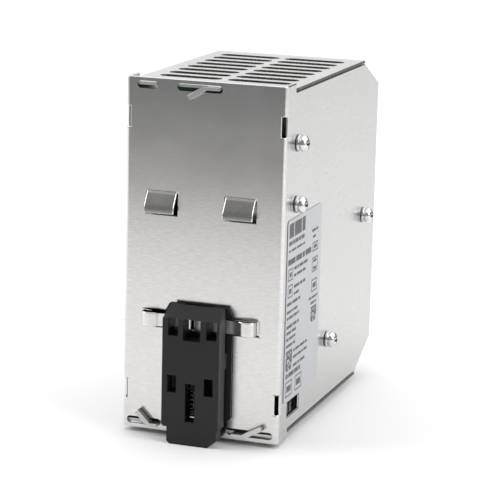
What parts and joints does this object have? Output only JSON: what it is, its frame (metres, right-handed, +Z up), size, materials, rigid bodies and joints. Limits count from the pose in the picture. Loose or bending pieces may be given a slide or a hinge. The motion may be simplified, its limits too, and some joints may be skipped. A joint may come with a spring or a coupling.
{
  "type": "din rail power supply",
  "caption": "Upright sheet-metal power supply with vented covers, rail hooks and a sprung rail clip on its back, and screw terminals on its front corners.",
  "frame": {"origin": "middle of the assembly's base, below the box of the whole part", "axes": "+Z up, +Y out of the back plate towards the rail, -Y towards the terminals, +X across the width"},
  "size_m": [0.066, 0.1194, 0.1262],
  "materials": {
    "case_steel": "galvanised sheet, fine grain",
    "cover_steel": "satin sheet",
    "screw_steel": "bright zinc",
    "clip_plastic": "moulded, fine texture",
    "spring_steel": "dark wire",
    "label_film": null,
    "laminate": "solder-masked board",
    "film": "insulating film",
    "block_plastic": "moulded terminal plastic",
    "clamp_brass": "plated clamp",
    "bar_copper": "tinned copper bar",
    "ferrite": "pressed ferrite",
    "winding": "taped winding",
    "can": "sleeved can",
    "sink_aluminium": "extruded",
    "device_plastic": "epoxy body",
    "wire_copper": "enamelled wire",
    "fuse_glass": "clear",
    "lens": "green lens",
    "trimmer_plastic": "moulded",
    "dial_plastic": "moulded",
    "selector_plastic": "moulded"
  },
  "bodies": {
    "case": {"chassis": "case_steel", "top_cover": "cover_steel", "bottom_cover": "cover_steel", "front_panel": "cover_steel", "side_label": "label_film", "clip_spring": "spring_steel", "selector_housing": "selector_plastic", "indicator_board": "laminate", "indicator_lens": "lens", "trimmer_body": "trimmer_plastic", "output_block": "block_plastic", "input_block": "block_plastic", "positive_bar": "bar_copper", "negative_bar": "bar_copper", "main_board": "laminate", "insulating_film": "film", "output_heatsink": "sink_aluminium", "primary_heatsink": "sink_aluminium", "rectifier": "device_plastic", "switching_transistor": "device_plastic", "transformer_core": "ferrite", "transformer_winding": "winding", "bulk_capacitor_1": "can", "bulk_capacitor_2": "can", "output_capacitor_1": "can", "output_capacitor_2": "can", "input_choke": "wire_copper", "fuse": "fuse_glass", "left_screw_1": "screw_steel", "right_screw_1": "screw_steel", "board_spacer_1": "clamp_brass", "left_screw_2": "screw_steel", "right_screw_2": "screw_steel", "board_spacer_2": "clamp_brass", "left_screw_3": "screw_steel", "right_screw_3": "screw_steel", "board_spacer_3": "clamp_brass", "left_screw_4": "screw_steel", "right_screw_4": "screw_steel", "board_spacer_4": "clamp_brass", "input_bar_1": "bar_copper", "input_bar_2": "bar_copper", "input_bar_3": "bar_copper"},
    "clip": {"rail_clip": "clip_plastic"},
    "selector": {"selector_slider": "selector_plastic"},
    "trimmer": {"trimmer_dial": "dial_plastic"},
    "output_screw_1": {"output_screw_1": "screw_steel"},
    "output_clamp_1": {"output_clamp_1": "clamp_brass"},
    "output_screw_2": {"output_screw_2": "screw_steel"},
    "output_clamp_2": {"output_clamp_2": "clamp_brass"},
    "output_screw_3": {"output_screw_3": "screw_steel"},
    "output_clamp_3": {"output_clamp_3": "clamp_brass"},
    "output_screw_4": {"output_screw_4": "screw_steel"},
    "output_clamp_4": {"output_clamp_4": "clamp_brass"},
    "input_screw_1": {"input_screw_1": "screw_steel"},
    "input_clamp_1": {"input_clamp_1": "clamp_brass"},
    "input_screw_2": {"input_screw_2": "screw_steel"},
    "input_clamp_2": {"input_clamp_2": "clamp_brass"},
    "input_screw_3": {"input_screw_3": "screw_steel"},
    "input_clamp_3": {"input_clamp_3": "clamp_brass"}
  },
  "joints": [
    {"name": "clip_slide", "type": "slide", "parent": "case", "child": "clip", "axis": [0, 0, -1], "range_m": [0, 0.005], "stiffness_N_per_m": 3000, "springref_m": -0.002, "deforming": ["clip_spring"]},
    {"name": "selector_slide", "type": "slide", "parent": "case", "child": "selector", "axis": [0, -1, 0], "range_m": [0, 0.0059]},
    {"name": "trimmer_turn", "type": "hinge", "parent": "case", "child": "trimmer", "pos_m": [-0.012, -0.05925, 0.0877], "axis": [0, 1, 0], "range_deg": [-135, 135]},
    {"name": "output_turn_1", "type": "hinge", "parent": "case", "child": "output_screw_1", "pos_m": [0.01875, -0.05545, 0.1047], "axis": [0, 1, 0], "range_deg": [0, 1262]},
    {"name": "output_clamp_slide_1", "type": "slide", "parent": "case", "child": "output_clamp_1", "axis": [0, -1, 0], "range_m": [0, 0.0028]},
    {"name": "output_turn_2", "type": "hinge", "parent": "case", "child": "output_screw_2", "pos_m": [0.00625, -0.05545, 0.1047], "axis": [0, 1, 0], "range_deg": [0, 1262]},
    {"name": "output_clamp_slide_2", "type": "slide", "parent": "case", "child": "output_clamp_2", "axis": [0, -1, 0], "range_m": [0, 0.0028]},
    {"name": "output_turn_3", "type": "hinge", "parent": "case", "child": "output_screw_3", "pos_m": [-0.00625, -0.05545, 0.1047], "axis": [0, 1, 0], "range_deg": [0, 1262]},
    {"name": "output_clamp_slide_3", "type": "slide", "parent": "case", "child": "output_clamp_3", "axis": [0, -1, 0], "range_m": [0, 0.0028]},
    {"name": "output_turn_4", "type": "hinge", "parent": "case", "child": "output_screw_4", "pos_m": [-0.01875, -0.05545, 0.1047], "axis": [0, 1, 0], "range_deg": [0, 1262]},
    {"name": "output_clamp_slide_4", "type": "slide", "parent": "case", "child": "output_clamp_4", "axis": [0, -1, 0], "range_m": [0, 0.0028]},
    {"name": "input_turn_1", "type": "hinge", "parent": "case", "child": "input_screw_1", "pos_m": [0.01875, -0.05545, 0.0232], "axis": [0, 1, 0], "range_deg": [0, 1262]},
    {"name": "input_clamp_slide_1", "type": "slide", "parent": "case", "child": "input_clamp_1", "axis": [0, -1, 0], "range_m": [0, 0.0028]},
    {"name": "input_turn_2", "type": "hinge", "parent": "case", "child": "input_screw_2", "pos_m": [0.00625, -0.05545, 0.0232], "axis": [0, 1, 0], "range_deg": [0, 1262]},
    {"name": "input_clamp_slide_2", "type": "slide", "parent": "case", "child": "input_clamp_2", "axis": [0, -1, 0], "range_m": [0, 0.0028]},
    {"name": "input_turn_3", "type": "hinge", "parent": "case", "child": "input_screw_3", "pos_m": [-0.00625, -0.05545, 0.0232], "axis": [0, 1, 0], "range_deg": [0, 1262]},
    {"name": "input_clamp_slide_3", "type": "slide", "parent": "case", "child": "input_clamp_3", "axis": [0, -1, 0], "range_m": [0, 0.0028]}
  ],
  "couplings": [
    {"joint": "output_turn_1", "follows": "output_clamp_slide_1", "rad_per_m": 7854},
    {"joint": "output_turn_2", "follows": "output_clamp_slide_2", "rad_per_m": 7854},
    {"joint": "output_turn_3", "follows": "output_clamp_slide_3", "rad_per_m": 7854},
    {"joint": "output_turn_4", "follows": "output_clamp_slide_4", "rad_per_m": 7854},
    {"joint": "input_turn_1", "follows": "input_clamp_slide_1", "rad_per_m": 7854},
    {"joint": "input_turn_2", "follows": "input_clamp_slide_2", "rad_per_m": 7854},
    {"joint": "input_turn_3", "follows": "input_clamp_slide_3", "rad_per_m": 7854}
  ]
}
